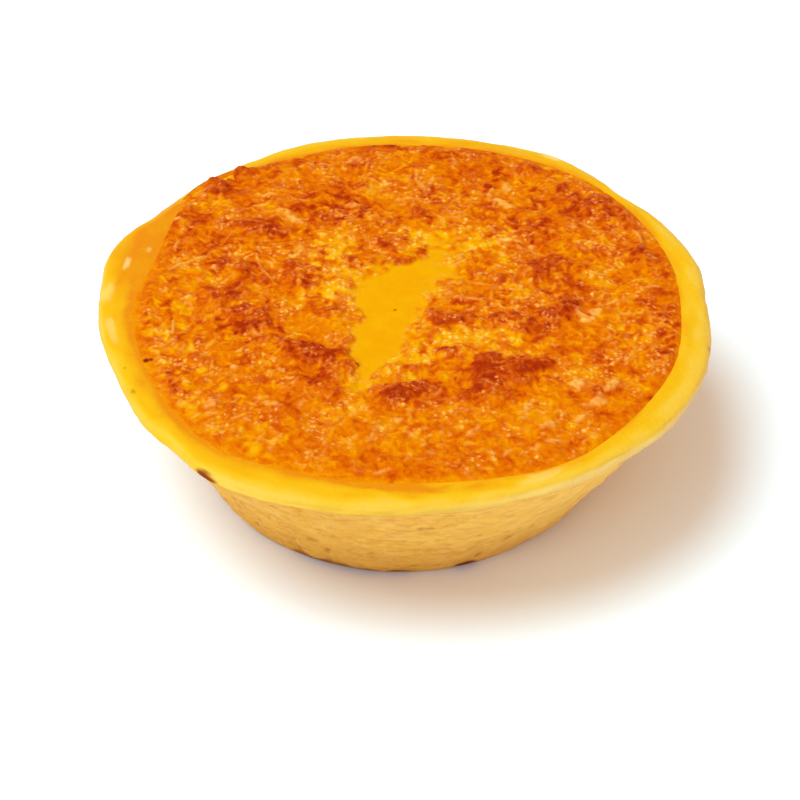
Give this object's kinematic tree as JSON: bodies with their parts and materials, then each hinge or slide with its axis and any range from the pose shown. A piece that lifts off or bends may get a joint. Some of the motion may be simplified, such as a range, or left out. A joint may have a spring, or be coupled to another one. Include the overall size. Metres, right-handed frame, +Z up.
{
  "type": "cheese tartlet",
  "caption": "Small round tartlet: a tapered shortcrust case with a broad glazed rim, full of baked cheese custard under a browned craggy grated-cheese crust with a bare patch near the middle.",
  "frame": {"origin": "centre of the flat underside, on the surface the tartlet stands on", "axes": "+Z up, out of the filling; +X to the right and +Y to the back as the picture shows the tartlet"},
  "size_m": [0.0802, 0.0809, 0.0276],
  "materials": {
    "pastry": "matt baked shortcrust, golden tan on the wall and glossy egg yellow on the rim",
    "filling": "moist baked cheese custard, golden orange with red-brown crags and a smooth yellow bare patch"
  },
  "bodies": {
    "root": {"pastry_case": "pastry", "filling": "filling"}
  },
  "joints": []
}
